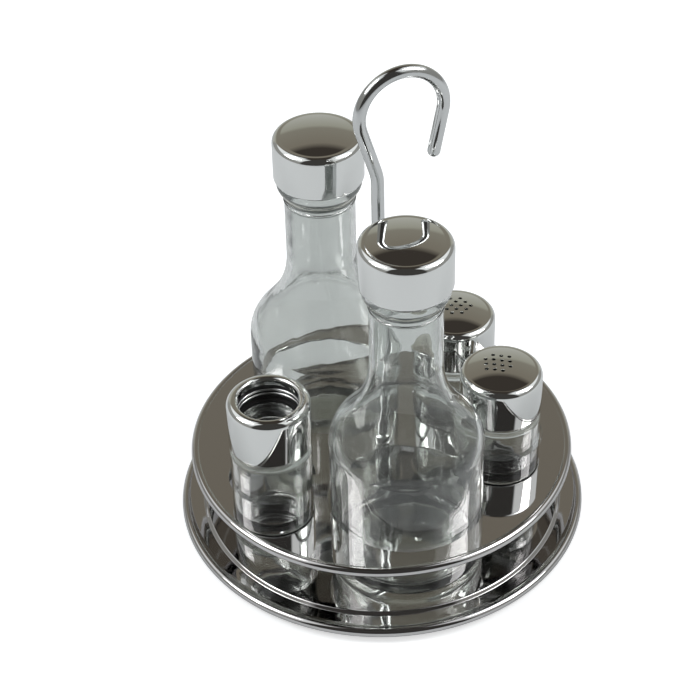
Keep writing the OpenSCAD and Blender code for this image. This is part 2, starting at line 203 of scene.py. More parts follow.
class Finishes(bpy.types.PropertyGroup):
    """Colours of the finishes"""
    steel: colour("Steel", (0.605, 0.595, 0.595, 1), "Polished sheet steel")
    rod: colour("Rod", (0.66, 0.67, 0.67, 1), "Polished rod and its fittings")
    chrome: colour("Chrome", (0.80, 0.81, 0.80, 1), "Bright chrome plating")
    glass: colour("Glass", (0.90, 0.92, 0.905, 1), "Faint green of the clear glass")
    black: colour("Black plastic", (0.012, 0.012, 0.013, 1), "Moulded black plastic")
    grey: colour("Grey plastic", (0.03, 0.03, 0.03, 1), "Moulded grey plastic of the inserts")
    white: colour("White plastic", (0.78, 0.78, 0.75, 1), "Moulded white plastic of the pourers")
    foam: colour("Seal foam", (0.015, 0.015, 0.015, 1), "Soft black rubber of the seals")


GROUPS = {"rack_sizes": RackSizes, "hook_sizes": HookSizes, "bottle_sizes": BottleSizes,
          "jar_sizes": JarSizes, "cap_sizes": CapSizes, "finishes": Finishes}


# ---- Mesh helpers ----

def arc(x, y, radius, start, end, steps=12):
    """Points of an arc about (x, y), with the angles in degrees."""
    turns = [math.radians(start + (end - start) * i / steps) for i in range(steps + 1)]
    return [(x + radius * math.cos(t), y + radius * math.sin(t)) for t in turns]


def along(a, b, steps):
    """Points on the line from a to b, without its ends."""
    return [(a[0] + (b[0] - a[0]) * i / steps, a[1] + (b[1] - a[1]) * i / steps) for i in range(1, steps)]


def finished_mesh(name, verts, faces, crease=38):
    """Mesh with its doubles merged, its faces outward, and smooth shading up to the crease angle."""
    mesh = bpy.data.meshes.new(name)
    mesh.from_pydata(verts, [], faces)
    work = bmesh.new()
    work.from_mesh(mesh)
    bmesh.ops.remove_doubles(work, verts=work.verts, dist=1e-6)
    bmesh.ops.recalc_face_normals(work, faces=work.faces)
    work.to_mesh(mesh)
    work.free()
    mesh.shade_smooth()
    mesh.set_sharp_from_angle(angle=math.radians(crease))
    return mesh


def turned(name, section, at=(0, 0, 0), steps=SMALL_STEPS):
    """Closed (radius, height) section spun about the vertical axis through at."""
    verts, faces, rings = [], [], []
    ax, ay, az = at
    for radius, z in section:
        if radius < POLE:
            rings.append([len(verts)])
            verts.append((ax, ay, az + z))
            continue
        rings.append(list(range(len(verts), len(verts) + steps)))
        for i in range(steps):
            t = 2 * math.pi * i / steps
            verts.append((ax + radius * math.cos(t), ay + radius * math.sin(t), az + z))
    for low, high in zip(rings, rings[1:] + rings[:1]):
        if len(low) == len(high) == 1:
            continue
        for i in range(steps):
            j = (i + 1) % steps
            if len(low) == 1:
                faces.append((low[0], high[j], high[i]))
            elif len(high) == 1:
                faces.append((low[i], low[j], high[0]))
            else:
                faces.append((low[i], low[j], high[j], high[i]))
    return finished_mesh(name, verts, faces)


def add_piece(name, mesh, body, material, *nodes):
    """Shown piece of the named finish, which rides on a body and stands for the named CAD nodes."""
    mesh.name = name
    mesh.materials.clear()
    mesh.materials.append(finish(material))
    piece = bpy.data.objects.new(name, mesh)
    bpy.context.scene.collection.objects.link(piece)
    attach(piece, body)
    if nodes:
        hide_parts(*nodes)


# ---- Geometry Nodes helpers ----

class NodeTree:
    """Small builder for a Geometry Nodes tree with named inputs."""

    def __init__(self, name, inputs, takes_geometry=False):
        self.tree = bpy.data.node_groups.new(name, "GeometryNodeTree")
        face = self.tree.interface
        self.ids = {}
        if takes_geometry:
            face.new_socket("Geometry", in_out="INPUT", socket_type="NodeSocketGeometry")
        for label, kind in inputs.items():
            socket = face.new_socket(label, in_out="INPUT", socket_type=f"NodeSocket{kind}")
            self.ids[label] = socket.identifier
        face.new_socket("Geometry", in_out="OUTPUT", socket_type="NodeSocketGeometry")
        self.source = self.tree.nodes.new("NodeGroupInput")

    def node(self, kind, inputs=None, **options):
        made = self.tree.nodes.new(kind)
        for key, value in options.items():
            setattr(made, key, value)
        for key, value in (inputs or {}).items():
            if isinstance(value, bpy.types.NodeSocket):
                self.tree.links.new(value, made.inputs[key])
            else:
                made.inputs[key].default_value = value
        return made

    def value(self, label):
        return self.source.outputs[label]

    def maths(self, operation, a, b=0.0):
        return self.node("ShaderNodeMath", {0: a, 1: b}, operation=operation).outputs[0]

    def close(self, geometry):
        """Ends the tree in Realize Instances and Set Material."""
        real = self.node("GeometryNodeRealizeInstances", {0: geometry})
        painted = self.node("GeometryNodeSetMaterial",
                            {"Geometry": real.outputs[0], "Material": self.value("Material")})
        out = self.tree.nodes.new("NodeGroupOutput")
        self.tree.links.new(painted.outputs[0], out.inputs[0])
        return self


def bake(name, builder, values, source=None):
    """Plain mesh made by the tree, with its inputs set by identifier before it is evaluated."""
    holder = bpy.data.objects.new(f"{name}_source", source or bpy.data.meshes.new(name))
    bpy.context.scene.collection.objects.link(holder)
    nodes = holder.modifiers.new("Shape", "NODES")
    nodes.node_group = builder.tree
    for label, value in values.items():
        nodes[builder.ids[label]] = value
    bpy.context.view_layer.update()
    graph = bpy.context.evaluated_depsgraph_get()
    mesh = bpy.data.meshes.new_from_object(holder.evaluated_get(graph))
    holder.modifiers.clear()
    bpy.data.objects.remove(holder)
    return mesh


def thread_tree():
    """Helical ridge of round section, as on a screw neck."""
    b = NodeTree("Thread", {"Radius": "Float", "Pitch": "Float", "Turns": "Float", "Ridge": "Float",
                            "Centre": "Vector", "Material": "Material"})
    rise = b.maths("MULTIPLY", b.value("Pitch"), b.value("Turns"))
    helix = b.node("GeometryNodeCurveSpiral", {"Resolution": 64, "Rotations": b.value("Turns"),
                                               "Start Radius": b.value("Radius"),
                                               "End Radius": b.value("Radius"), "Height": rise})
    ridge = b.node("GeometryNodeCurvePrimitiveCircle", {"Resolution": 10, "Radius": b.value("Ridge")})
    # the ridge fades in and out at its ends
    along_it = b.node("GeometryNodeSplineParameter").outputs["Factor"]
    from_end = b.maths("MINIMUM", along_it, b.maths("SUBTRACT", 1.0, along_it))
    fade = b.node("ShaderNodeMapRange", {"Value": from_end, "From Max": 0.06, "To Min": 0.05})
    swept = b.node("GeometryNodeCurveToMesh", {"Curve": helix.outputs[0], "Profile Curve": ridge.outputs[0],
                                               "Scale": fade.outputs[0], "Fill Caps": True})
    smooth = b.node("GeometryNodeSetShadeSmooth", {0: swept.outputs[0]})
    placed = b.node("GeometryNodeTransform", {"Geometry": smooth.outputs[0],
                                              "Translation": b.value("Centre")})
    return b.close(placed.outputs[0])


def rod_tree():
    """Round rod swept along the given path, with domed ends."""
    b = NodeTree("Swept Rod", {"Radius": "Float", "Material": "Material"}, takes_geometry=True)
    ring = b.node("GeometryNodeCurvePrimitiveCircle", {"Resolution": 40, "Radius": b.value("Radius")})
    scale = b.node("GeometryNodeInputNamedAttribute", {"Name": "radius"}, data_type="FLOAT")
    swept = b.node("GeometryNodeCurveToMesh", {"Curve": b.value("Geometry"), "Profile Curve": ring.outputs[0],
                                               "Scale": scale.outputs[0], "Fill Caps": True})
    smooth = b.node("GeometryNodeSetShadeSmooth", {0: swept.outputs[0]})
    return b.close(smooth.outputs[0])


def sprinkle_tree():
    """Cap dome with columns of holes cut through it, each hole flared at its edge."""
    b = NodeTree("Sprinkle Holes", {"Cutters": "Object", "Material": "Material"}, takes_geometry=True)
    cutters = b.node("GeometryNodeObjectInfo", {"Object": b.value("Cutters")})
    cut = b.node("GeometryNodeMeshBoolean",
                 {"Mesh 1": b.value("Geometry"), "Mesh 2": cutters.outputs["Geometry"]},
                 operation="DIFFERENCE", solver="EXACT")
    return b.close(cut.outputs[0])


# ---- Materials ----

def new_material(name):
    material = bpy.data.materials.new(name)
    material.use_nodes = True
    nodes, links = material.node_tree.nodes, material.node_tree.links
    return material, nodes, links, nodes["Principled BSDF"]


def noise_on_object(nodes, links, scale, detail=3.0, stretch=(1, 1, 1)):
    place = nodes.new("ShaderNodeTexCoord")
    mapping = nodes.new("ShaderNodeMapping")
    mapping.inputs["Scale"].default_value = stretch
    noise = nodes.new("ShaderNodeTexNoise")
    noise.inputs["Scale"].default_value = scale
    noise.inputs["Detail"].default_value = detail
    links.new(place.outputs["Object"], mapping.inputs["Vector"])
    links.new(mapping.outputs["Vector"], noise.inputs["Vector"])
    return noise.outputs["Fac"]


def mapped(nodes, links, value, low, high, from_low=0.3, from_high=0.7):
    spread = nodes.new("ShaderNodeMapRange")
    for key, number in (("From Min", from_low), ("From Max", from_high), ("To Min", low), ("To Max", high)):
        spread.inputs[key].default_value = number
    links.new(value, spread.inputs["Value"])
    return spread.outputs["Result"]


def maths(nodes, links, operation, *values):
    """Output of a Math node whose inputs are sockets or numbers."""
    made = nodes.new("ShaderNodeMath")
    made.operation = operation
    for socket, value in zip(made.inputs, values):
        if isinstance(value, bpy.types.NodeSocket):
            links.new(value, socket)
        else:
            socket.default_value = value
    return made.outputs[0]


def blend(nodes, links, factor, a, b):
    """Colour between a and b, which are sockets or colours."""
    made = nodes.new("ShaderNodeMix")
    made.data_type = "RGBA"
    links.new(factor, made.inputs["Factor"])
    for key, value in (("A", a), ("B", b)):
        if isinstance(value, bpy.types.NodeSocket):
            links.new(value, made.inputs[key])
        else:
            made.inputs[key].default_value = value
    return made.outputs["Result"]


def bump(nodes, links, shader, height_value, strength, distance):
    made = nodes.new("ShaderNodeBump")
    made.inputs["Strength"].default_value = strength
    made.inputs["Distance"].default_value = distance
    links.new(height_value, made.inputs["Height"])
    links.new(made.outputs["Normal"], shader.inputs["Normal"])


def metal(name, tone, rough_low, rough_high, wave, wave_size):
    """Polished metal: faint wipe marks in the gloss, fine grain, and a slow wave in the surface."""
    material, nodes, links, shader = new_material(name)
    shader.inputs["Metallic"].default_value = 1
    shader.inputs["Base Color"].default_value = tone
    smear = noise_on_object(nodes, links, 45, 4, (1, 2.2, 1))
    links.new(mapped(nodes, links, smear, rough_low, rough_high), shader.inputs["Roughness"])
    slow = noise_on_object(nodes, links, wave_size, 1.5)
    bump(nodes, links, shader, slow, 1.0, wave)
    return material


def clear_glass(tone):
    """Pressed glass: faint tint, almost clear gloss, and a long and a short wave in the surface."""
    material, nodes, links, shader = new_material("clear glass")
    shader.inputs["Base Color"].default_value = tone
    # the rest scatters, which greys the glass as uneven pressed glass does
    shader.inputs["Transmission Weight"].default_value = 0.96
    shader.inputs["IOR"].default_value = 1.5
    smear = noise_on_object(nodes, links, 30, 3)
    links.new(mapped(nodes, links, smear, 0.0, 0.02), shader.inputs["Roughness"])
    slow = noise_on_object(nodes, links, 42, 1, (1, 1, 0.55))
    short = noise_on_object(nodes, links, 130, 1)
    both = maths(nodes, links, "MULTIPLY_ADD", short, 0.14, slow)
    bump(nodes, links, shader, both, 1.0, 0.0009)
    return material


def moulded_plastic(name, tone, gloss):
    material, nodes, links, shader = new_material(name)
    tint = noise_on_object(nodes, links, 90, 3)
    darker = [c * 0.82 for c in tone[:3]] + [1]
    uneven = blend(nodes, links, mapped(nodes, links, tint, 0, 1), tone, darker)
    links.new(uneven, shader.inputs["Base Color"])
    links.new(mapped(nodes, links, tint, gloss, gloss + 0.15), shader.inputs["Roughness"])
    grain = noise_on_object(nodes, links, 1400, 2)
    bump(nodes, links, shader, grain, 0.35, 0.00004)
    return material


def finish(name):
    """Material of that name, made from the colour settings when first asked for."""
    if name in bpy.data.materials:
        return bpy.data.materials[name]
    tones = bpy.context.scene.finishes
    if name == "mirror steel":
        return metal(name, tones.steel, 0.02, 0.055, 0.00004, 22)
    if name == "bright rod":
        return metal(name, tones.rod, 0.06, 0.13, 0.00002, 60)
    if name == "steel hardware":
        return metal(name, tones.rod, 0.16, 0.26, 0.00002, 90)
    if name == "chrome plate":
        return metal(name, tones.chrome, 0.015, 0.05, 0.00003, 45)
    if name == "clear glass":
        return clear_glass(tones.glass)
    if name == "black plastic":
        return moulded_plastic(name, tones.black, 0.4)
    if name == "grey plastic":
        return moulded_plastic(name, tones.grey, 0.35)
    if name == "white plastic":
        return moulded_plastic(name, tones.white, 0.35)
    if name == "seal foam":
        return moulded_plastic(name, tones.foam, 0.75)
    raise ValueError(f"there is no finish named {name}")


# ---- Rack pieces ----

class CRUET_OT_tray(bpy.types.Operator):
    """Lower tray: raised mirror floor, low step, flat brim and rolled bead"""
    bl_idname = "cruet.tray"
    bl_label = "Lower Tray"

    def execute(self, context):
        s = context.scene.rack_sizes
        outer, bore = half_width("lower_tray"), context.scene.hook_sizes.rod
        under = FLOOR_Z - s.sheet
        brim = s.bead_height + s.bead - s.bead_proud
        fall, fall_degrees = s.step_fall, math.degrees(s.step_fall)
        drop = FLOOR_Z - brim - s.edge_radius * (1 - math.cos(fall))
        x = s.floor_radius - drop / math.tan(fall) - s.edge_radius * math.sin(fall)
        meet_top, meet_under = (180 - math.degrees(math.asin((z - s.bead_height) / s.bead))
                                for z in (brim, brim - s.sheet))
        edge = arc(x, FLOOR_Z - s.edge_radius, s.edge_radius, 90, 90 - fall_degrees, 12)
        foot = arc(s.floor_radius + s.foot_radius * math.tan(fall / 2), brim + s.foot_radius, s.foot_radius,
                   270 - fall_degrees, 270, 8)
        bead = arc(outer - s.bead, s.bead_height, s.bead, meet_top, meet_under - 360, 56)
        back = s.floor_radius - s.sheet * math.tan(fall / 2)
        behind = back - (under - brim + s.sheet) / math.tan(fall)
        section = ([(bore, under), (bore, FLOOR_Z)] + along((bore, FLOOR_Z), edge[0], 14) + edge + foot
                   + along(foot[-1], bead[0], 4) + bead + along(bead[-1], (back, brim - s.sheet), 4)
                   + [(back, brim - s.sheet), (behind, under)])
        add_piece("tray", turned("tray", section, steps=SPIN_STEPS), "rack", "mirror steel", "lower_tray")
        return {"FINISHED"}


class CRUET_OT_plate(bpy.types.Operator):
    """Upper plate: flat disc with a rolled bead and a hole for each vessel"""
    bl_idname = "cruet.plate"
    bl_label = "Upper Plate"

    def execute(self, context):
        s = context.scene.rack_sizes
        outer = half_width("upper_plate")
        flat = outer - s.bead
        holes = [((0, 0), context.scene.hook_sizes.rod)]
        for vessel in (*BOTTLES, *SHAKERS, "toothpick"):
            glass = f"{vessel}_glass"
            holes.append((middle(glass).xy, half_width(glass) + s.hole_gap))
        verts, faces = pierced_sheet(flat, holes, PLATE_TOP, s.sheet, s.hole_edge)
        mesh = finished_mesh("plate", verts, faces, 30)
        add_piece("plate", mesh, "rack", "mirror steel", "upper_plate")
        bead_z = PLATE_RIM_TOP - s.bead
        ring = arc(flat, bead_z, s.bead, 0, 360, 56)[:-1]
        add_piece("plate_bead", turned("plate_bead", ring, steps=SPIN_STEPS), "rack", "mirror steel")
        return {"FINISHED"}


def circle(x, y, radius, z, steps):
    turns = [2 * math.pi * i / steps for i in range(steps)]
    return [(x + radius * math.cos(t), y + radius * math.sin(t), z) for t in turns]


def pierced_sheet(outer, holes, top, thick, edge):
    """Flat round sheet with round holes through it, each hole's edges rounded off."""
    work = bmesh.new()
    loops = []
    for (x, y), radius in [((0, 0), outer)] + holes:
        steps = SPIN_STEPS if radius > 20 * MM else HOLE_STEPS
        grow = edge if radius < outer else 0
        loops.append([work.verts.new(p) for p in circle(x, y, radius + grow, top, steps)])
    edges = [work.edges.new((a, b)) for ring in loops for a, b in zip(ring, ring[1:] + ring[:1])]
    bmesh.ops.triangle_fill(work, use_beauty=True, edges=edges, normal=(0, 0, 1))
    verts = [tuple(v.co) for v in work.verts]
    top_faces = [tuple(v.index for v in f.verts) for f in indexed(work).faces]
    work.free()
    count = len(verts)
    verts += [(x, y, top - thick) for x, y, _ in verts]
    faces = top_faces + [tuple(i + count for i in reversed(f)) for f in top_faces]
    # walls of the holes, from the upper face to the lower
    start = 0
    for ring, ((x, y), radius) in zip(loops, [((0, 0), outer)] + holes):
        steps = len(ring)
        grow = edge if radius < outer else 0
        levels = [list(range(start, start + steps))]
        for z in (top - edge, top - thick + edge):
            levels.append(list(range(len(verts), len(verts) + steps)))
            verts += circle(x, y, radius if grow else outer, z, steps)
        levels.append(list(range(start + count, start + count + steps)))
        for upper, lower in zip(levels, levels[1:]):
            faces += [(upper[i], upper[(i + 1) % steps], lower[(i + 1) % steps], lower[i])
                      for i in range(steps)]
        start += steps
    return verts, faces


def indexed(work):
    work.verts.index_update()
    return work


class CRUET_OT_hook(bpy.types.Operator):
    """Hook handle: one bent rod from under the tray up to the open hook"""
    bl_idname = "cruet.hook"
    bl_label = "Hook Handle"

    def execute(self, context):
        s = context.scene.hook_sizes
        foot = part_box("hook_handle")[0].z
        path = hook_path(s, foot)
        curve = bpy.data.curves.new("hook_path", "CURVE")
        curve.dimensions = "3D"
        spline = curve.splines.new("POLY")
        spline.points.add(len(path) - 1)
        for point, (place, scale) in zip(spline.points, path):
            point.co = (*place, 1)
            point.radius = scale
        mesh = bake("hook", rod_tree(), {"Radius": s.rod, "Material": finish("bright rod")}, curve)
        add_piece("hook", mesh, "rack", "bright rod", "hook_handle")
        return {"FINISHED"}


def hook_path(s, foot):
    """Points of the hook's centre line with the rod's share of full radius at each."""
    left = s.loop_offset - s.loop * math.cos(s.lean)
    left_z = s.loop_height - s.loop * math.sin(s.lean)
    elbow_reach = s.elbow * math.tan(s.lean / 2)
    elbow_z = left_z + left / math.tan(s.lean) - elbow_reach
    flat = [(0, foot + 0.25 * s.rod + (elbow_z - foot - 0.25 * s.rod) * i / 24) for i in range(24)]
    lean, tail = math.degrees(s.lean), math.degrees(s.tail_lean)
    flat += arc(-s.elbow, elbow_z, s.elbow, 0, lean, 10)
    flat += arc(s.loop_offset, s.loop_height, s.loop, 180 + lean, -tail, 72)
    end_x, end_z = flat[-1]
    dx, dz = -math.sin(s.tail_lean), -math.cos(s.tail_lean)
    flat += [(end_x + dx * s.tail * i / 8, end_z + dz * s.tail * i / 8) for i in range(1, 9)]
    scales = [1.0] * len(flat)
    tip_x, tip_z = flat[-1]
    for i in range(1, 9):
        t = math.pi / 2 * i / 8
        flat.append((tip_x + dx * s.rod * math.sin(t), tip_z + dz * s.rod * math.sin(t)))
        scales.append(max(math.cos(t), 0.02))
    flat, scales = [(0, foot)] + flat, [0.8] + scales
    turn = Matrix.Rotation(s.turn, 3, "Z")
    return [(turn @ Vector((x, 0, z)), scale) for (x, z), scale in zip(flat, scales)]


class CRUET_OT_fittings(bpy.types.Operator):
    """Spacer tube, round nut, washer and lower nut on the rod, and the pad under the tray"""
    bl_idname = "cruet.fittings"
    bl_label = "Rod Fittings and Pad"

    def execute(self, context):
        rod = context.scene.hook_sizes.rod
        gap = 0.05 * MM

        def sleeve(name, node, round_off, material):
            low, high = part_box(node)
            outer, z0, z1 = half_width(node), low.z, high.z
            bore = rod + gap
            section = (arc(outer - round_off, z0 + round_off, round_off, -90, 0, 5)
                       + arc(outer - round_off, z1 - round_off, round_off, 0, 90, 5)
                       + [(bore, z1), (bore, z0)])
            mesh = turned(name, section, steps=HOLE_STEPS)
            add_piece(name, mesh, "rack", material, node)

        sleeve("spacer", "spacer_tube", 0.25 * MM, "bright rod")
        sleeve("plate_nut", "round_nut", 0.9 * MM, "chrome plate")
        sleeve("washer", "lower_washer", 0.2 * MM, "steel hardware")
        self.hex_nut("rod_nut", "lower_nut", rod + gap)
        self.pad(context.scene.rack_sizes)
        return {"FINISHED"}

    def hex_nut(self, name, node, bore):
        """Hexagon nut whose corners are turned off at both ends."""
        low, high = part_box(node)
        z0, z1 = low.z, high.z
        flats = (high.y - low.y) / 2
        corner = flats / math.cos(math.radians(30))
        steps, rings = 72, []
        chamfer, face = 0.4 * MM, flats * 0.97
        for z, limit in ((z0, face), (z0 + chamfer, corner), (z1 - chamfer, corner), (z1, face)):
            ring = []
            for i in range(steps):
                t = 2 * math.pi * i / steps
                off = (math.degrees(t) % 60) - 30
                reach = min(flats / math.cos(math.radians(off)), limit)
                ring.append((reach * math.cos(t), reach * math.sin(t), z))
            rings.append(ring)
        rings += [circle(0, 0, bore, z1, steps), circle(0, 0, bore, z0, steps)]
        verts = [p for ring in rings for p in ring]
        faces = []
        for k in range(len(rings)):
            a, b = k * steps, ((k + 1) % len(rings)) * steps
            faces += [(a + i, a + (i + 1) % steps, b + (i + 1) % steps, b + i) for i in range(steps)]
        mesh = finished_mesh(name, verts, faces, 25)
        add_piece(name, mesh, "rack", "steel hardware", node)

    def pad(self, s):
        """Moulded pad: thin outer edge, rim under the tray's brim, web, and three low ribs under it."""
        low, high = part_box("base_pad")
        outer, z0, z1 = half_width("base_pad"), low.z, high.z
        rim, web, round_off = 3.2 * MM, 1.6 * MM, 0.5 * MM
        rib, rib_depth, draft = 1.2 * MM, 0.6 * MM, 0.2 * MM
        wall = outer - s.pad_inset
        section = (arc(outer - round_off, z0 + round_off, round_off, -90, 0, 5)
                   + arc(outer - round_off, z0 + s.pad_edge - round_off, round_off, 0, 90, 5)
                   + [(wall + round_off, z0 + s.pad_edge), (wall, z0 + s.pad_edge + round_off)]
                   + arc(wall - round_off, z1 - round_off, round_off, 0, 90, 5)
                   + [(wall - rim, z1), (wall - rim, web), (0, web), (0, z0 + rib_depth)])
        for share in (0.25, 0.5, 0.75):
            r = outer * share
            section += [(r, z0 + rib_depth), (r + draft, z0), (r + rib, z0),
                        (r + rib + draft, z0 + rib_depth)]
        section += [(outer - rim, z0 + rib_depth), (outer - rim + draft, z0)]
        add_piece("pad", turned("pad", section, steps=SPIN_STEPS), "rack", "black plastic", "base_pad")


# ---- Glass ----

def shoulder_line(s, outer, inset):
    """Shoulder and neck of a bottle, pulled in by inset."""
    r, neck = outer - inset, s.neck - inset
    convex, hollow = s.shoulder - inset, s.throat + inset
    sweep = s.shoulder_sweep
    x1 = r - convex + convex * math.cos(sweep)
    z1 = s.shoulder_start + convex * math.sin(sweep)
    slope = (x1 - neck - hollow * (1 - math.cos(sweep))) / math.sin(sweep)
    x2, z2 = x1 - slope * math.sin(sweep), z1 + slope * math.cos(sweep)
    degrees = math.degrees(sweep)
    return (arc(r - convex, s.shoulder_start, convex, 0, degrees, 24) + along((x1, z1), (x2, z2), 4)
            + arc(x2 + hollow * math.cos(sweep), z2 + hollow * math.sin(sweep), hollow,
                  180 + degrees, 180, 18))


class CRUET_OT_bottles(bpy.types.Operator):
    """Two glass bottles with their screw threads"""
    bl_idname = "cruet.bottles"
    bl_label = "Bottles"

    def execute(self, context):
        s, caps = context.scene.bottle_sizes, context.scene.cap_sizes
        threads = thread_tree()
        for vessel in BOTTLES:
            node = f"{vessel}_glass"
            at, outer, top = middle(node), half_width(node), height(node)
            ring_top = s.cap_edge - caps.turn_gap
            ring_low = ring_top - s.ring_height
            lip, ring_edge = 0.8 * MM, 0.9 * MM
            foot_edge = (outer - s.foot_round - 2 * MM, 0.5 * MM)
            section = [(0, s.push_up)] + along((0, s.push_up), foot_edge, 6) + [foot_edge]
            section += arc(outer - s.foot_round, s.foot_round, s.foot_round, -90, 0, 12)
            section += along((outer, s.foot_round), (outer, s.shoulder_start), 10)
            section += shoulder_line(s, outer, 0)
            # a low ring round the neck, then the neck widens smoothly into the collar
            fade_low, soft = ring_low - s.ring_fade, 0.5 * MM
            section += [(s.neck, fade_low - 3 * soft)]
            section += [(s.neck + s.neck_ring * math.sin(math.pi * i / 8), fade_low + (i / 4 - 2) * soft)
                        for i in range(1, 8)]
            section += [(s.neck + (s.ring - s.neck) * (1 - math.cos(math.pi * i / 14)) / 2,
                         fade_low + (s.ring_fade + 1.4 * MM) * i / 14) for i in range(15)]
            section += arc(s.ring - ring_edge, ring_top - ring_edge, ring_edge, 0, 90, 6)
            section += [(s.neck, ring_top)] + arc(s.neck - lip, top - lip, lip, 0, 90, 6)
            section += arc(s.bore + lip, top - lip, lip, 90, 180, 6)
            section += [(s.bore, s.shoulder_start + s.bore_rise)]
            section += list(reversed(shoulder_line(s, outer, s.wall)))
            inner, inner_z = outer - s.wall, s.base + s.foot_round
            section += along((inner, s.shoulder_start), (inner, inner_z), 10)
            section += list(reversed(arc(inner - s.foot_round, inner_z, s.foot_round, -90, 0, 12)))
            section += [(0, s.base + s.push_up)]
            add_piece(f"{vessel}_body", turned(node, section, at), vessel, "clear glass", node)
            mesh = bake(f"{vessel}_thread", threads,
                        {"Radius": s.neck - THREAD_INSET, "Pitch": THREAD_PITCH, "Turns": 2.4,
                         "Ridge": THREAD_RIDGE, "Centre": at + Vector((0, 0, s.cap_edge + 2.5 * MM)),
                         "Material": finish("clear glass")})
            add_piece(f"{vessel}_thread", mesh, vessel, "clear glass")
        return {"FINISHED"}


class CRUET_OT_jars(bpy.types.Operator):
    """Three small glass jars with their screw threads"""
    bl_idname = "cruet.jars"
    bl_label = "Jars"

    def execute(self, context):
        s, gap = context.scene.jar_sizes, context.scene.cap_sizes.turn_gap
        threads = thread_tree()
        for vessel in (*SHAKERS, "toothpick"):
            node = f"{vessel}_glass"
            body = "toothpick_jar" if vessel == "toothpick" else vessel
            at, outer, top = middle(node), half_width(node), height(node)
            cap_edge = middle(f"{vessel}_cap").z - at.z
            lip, shoulder, foot = 0.7 * MM, 1 * MM, 2.2 * MM
            section = [(0, 1.2 * MM), (outer - 3.2 * MM, 0.3 * MM)]
            section += arc(outer - foot, foot, foot, -90, 0, 10)
            section += along((outer, foot), (outer, cap_edge - gap - shoulder), 8)
            section += arc(outer - shoulder, cap_edge - gap - shoulder, shoulder, 0, 90, 8)
            section += [(s.neck, cap_edge - gap)] + arc(s.neck - lip, top - lip, lip, 0, 90, 6)
            section += arc(s.bore + lip, top - lip, lip, 90, 180, 6)
            section += [(s.bore, cap_edge - 1 * MM)]
            inner, soft = outer - s.wall, 2 * MM
            upper_z, lower_z = cap_edge - 6 * MM, s.base + soft
            section += list(reversed(arc(inner - soft, upper_z, soft, 0, 60, 8)))
            section += along((inner, upper_z), (inner, lower_z), 8)
            section += list(reversed(arc(inner - soft, lower_z, soft, -90, 0, 8)))
            section += [(0, s.base + 1 * MM)]
            add_piece(f"{vessel}_body", turned(node, section, at), body, "clear glass", node)
            mesh = bake(f"{vessel}_thread", threads,
                        {"Radius": s.neck - THREAD_INSET, "Pitch": THREAD_PITCH, "Turns": 1.6,
                         "Ridge": THREAD_RIDGE, "Centre": at + Vector((0, 0, cap_edge + 3 * MM)),
                         "Material": finish("clear glass")})
            add_piece(f"{vessel}_thread", mesh, body, "clear glass")
        return {"FINISHED"}


# ---- Caps, seals, inserts and pourers ----

def dome_ball(s, outer):
    """Radius of the ball that a cap's dome is cut from."""
    run, rise = outer - s.crown, s.dome - s.crown * CROWN_RISE
    return (run * run + rise * rise) / (2 * rise)


def dome_height(s, outer, side, radius):
    """Height of the dome at that distance from the cap's axis."""
    ball = dome_ball(s, outer)
    return side + s.dome - ball + math.sqrt(ball * ball - radius * radius)


def dome_line(s, outer, side, inset):
    """Crown and dome of a cap, from its side to its middle, pulled in by inset."""
    run, ball = outer - s.crown, dome_ball(s, outer)
    tip = math.degrees(math.asin(run / ball))
    z = side + s.dome - inset
    return (arc(run, side - s.crown * CROWN_DROP, s.crown - inset, 0, 90 - tip, 10)
            + arc(0, z - ball + inset, ball - inset, 90 - tip, 90, 20))


def cap_section(s, outer, side):
    """Closed section of a domed cap: the shell's outside, its hemmed lower edge and its inside."""
    hem = s.shell * 0.45
    outside = arc(outer - hem, hem, hem, -90, 0, 4) + dome_line(s, outer, side, 0)
    inside = list(reversed(dome_line(s, outer, side, s.shell)))
    return outside[:-1] + [(0, outside[-1][1]), (0, inside[0][1])] + inside[1:] + [(outer - s.shell, hem)]


class CRUET_OT_bottle_caps(bpy.types.Operator):
    """Plain domed caps of the bottles, with their inserts, seals and pourers"""
    bl_idname = "cruet.bottle_caps"
    bl_label = "Bottle Caps"

    def execute(self, context):
        s = context.scene.cap_sizes
        for vessel in BOTTLES:
            node = f"{vessel}_cap"
            at, outer = middle(node), half_width(node)
            side = height(node) - s.dome
            add_piece(f"{vessel}_chrome", turned(node, cap_section(s, outer, side), at),
                      f"{vessel}_screw_cap", "chrome plate", node)
            sleeve_like(f"{vessel}_inner", f"{vessel}_insert", f"{vessel}_screw_cap", "grey plastic",
                        context.scene.bottle_sizes.neck + 1.0 * MM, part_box(f"{vessel}_seal")[1].z)
            disc(f"{vessel}_liner", f"{vessel}_seal", f"{vessel}_seal_ring", "seal foam")
            self.pourer(context, vessel)
        return {"FINISHED"}

    def pourer(self, context, vessel):
        """Stepped plug with a flange, a hollow underside and a narrow pouring hole."""
        node = f"{vessel}_pourer"
        at, outer, top = middle(node), half_width(node), height(node)
        bore = context.scene.bottle_sizes.bore - 0.05 * MM
        flange, hole, wall, roof = 0.8 * MM, 2.2 * MM, 1.4 * MM, 1.4 * MM
        section = (arc(outer - 0.3 * MM, top - 0.3 * MM, 0.3 * MM, 0, 90, 4)
                   + [(hole + 1.2 * MM, top), (hole + 0.4 * MM, top - 0.3 * MM), (hole, top - 0.6 * MM),
                      (hole, top - flange - roof), (bore - wall, top - flange - roof), (bore - wall, 0),
                      (bore - 0.4 * MM, 0), (bore, 0.6 * MM), (bore, top - flange), (outer, top - flange)])
        add_piece(f"{vessel}_plug", turned(node, section, at), vessel, "white plastic", node)


